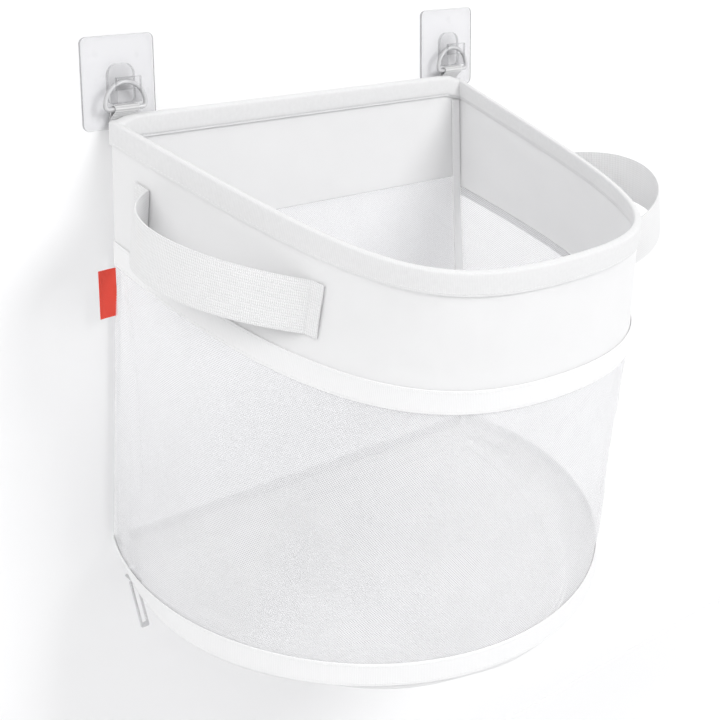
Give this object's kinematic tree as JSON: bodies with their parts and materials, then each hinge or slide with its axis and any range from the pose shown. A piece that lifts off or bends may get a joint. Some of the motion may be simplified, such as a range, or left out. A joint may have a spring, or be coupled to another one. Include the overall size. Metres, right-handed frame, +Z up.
{
  "type": "bath toy organizer",
  "caption": "Wall-hung mesh bath toy bag with a flat back, fabric band, side handles, zip-open base and two adhesive hooks.",
  "frame": {"origin": "On the wall plane, midway between the two adhesive hook plates' centres", "axes": "+Z up, +X to the right as seen from the room, -Y out from the wall into the room"},
  "size_m": [0.4303, 0.2475, 0.4268],
  "materials": {
    "adhesive": "glossy",
    "clear_plastic": "glossy",
    "ring_plastic": "glossy",
    "stiffener_plastic": "matte",
    "zip_plastic": "satin",
    "nickel": "polished",
    "white_fabric": "matte",
    "white_webbing": "matte",
    "sheer_mesh": "matte",
    "red_label": "matte"
  },
  "bodies": {
    "wall_hooks": {"adhesive_sheet_left": "adhesive", "adhesive_sheet_right": "adhesive", "hook_plate_left": "clear_plastic", "hook_plate_right": "clear_plastic", "hook_left": "clear_plastic", "hook_right": "clear_plastic"},
    "hanging_rings": {"ring_left": "ring_plastic", "ring_right": "ring_plastic"},
    "bag": {"hang_loop_left": "white_webbing", "hang_loop_right": "white_webbing", "rim_stiffener": "stiffener_plastic", "rim_binding": "white_webbing", "band_front": "white_fabric", "band_rear": "white_fabric", "band_lower_tape": "white_webbing", "mesh_front": "sheer_mesh", "mesh_rear": "sheer_mesh", "corner_seam_tape_left": "white_webbing", "corner_seam_tape_right": "white_webbing", "handle_left": "white_webbing", "handle_right": "white_webbing", "label": "red_label", "bottom_binding": "white_webbing", "base_edge": "white_fabric", "zip_tape_upper": "white_webbing", "zip_teeth_upper": "zip_plastic", "zip_end_stop_left": "zip_plastic", "zip_end_stop_right": "zip_plastic"},
    "base_flap": {"base_panel": "white_fabric", "zip_tape_lower": "white_webbing", "zip_teeth_lower": "zip_plastic"},
    "zip_slider": {"zip_slider": "nickel"},
    "zip_pull": {"zip_pull": "nickel"}
  },
  "joints": [
    {"name": "ring_swing", "type": "hinge", "parent": "wall_hooks", "child": "hanging_rings", "pos_m": [0, -0.00785, -0.00247], "axis": [-1, 0, 0], "range_deg": [0, 18]},
    {"name": "bag_swing", "type": "hinge", "parent": "hanging_rings", "child": "bag", "pos_m": [0, -0.00785, -0.0165], "axis": [-1, 0, 0], "range_deg": [0, 70]},
    {"name": "base_flap_open", "type": "hinge", "parent": "bag", "child": "base_flap", "pos_m": [0, -0.01276, -0.32842], "axis": [1, 0, 0], "range_deg": [0, 70]},
    {"name": "zip_travel", "type": "hinge", "parent": "bag", "child": "zip_slider", "pos_m": [0, -0.0283, -0.33245], "axis": [0, -0.3316, 0.9434], "range_deg": [0, 182]},
    {"name": "pull_swing", "type": "hinge", "parent": "zip_slider", "child": "zip_pull", "pos_m": [-0.18779, -0.02246, -0.33458], "axis": [-0.9997, 0.0241, 0.0085], "range_deg": [-60, 45]}
  ],
  "couplings": [
    {"joint": "zip_travel", "follows": "base_flap_open", "ratio": 2.6}
  ]
}
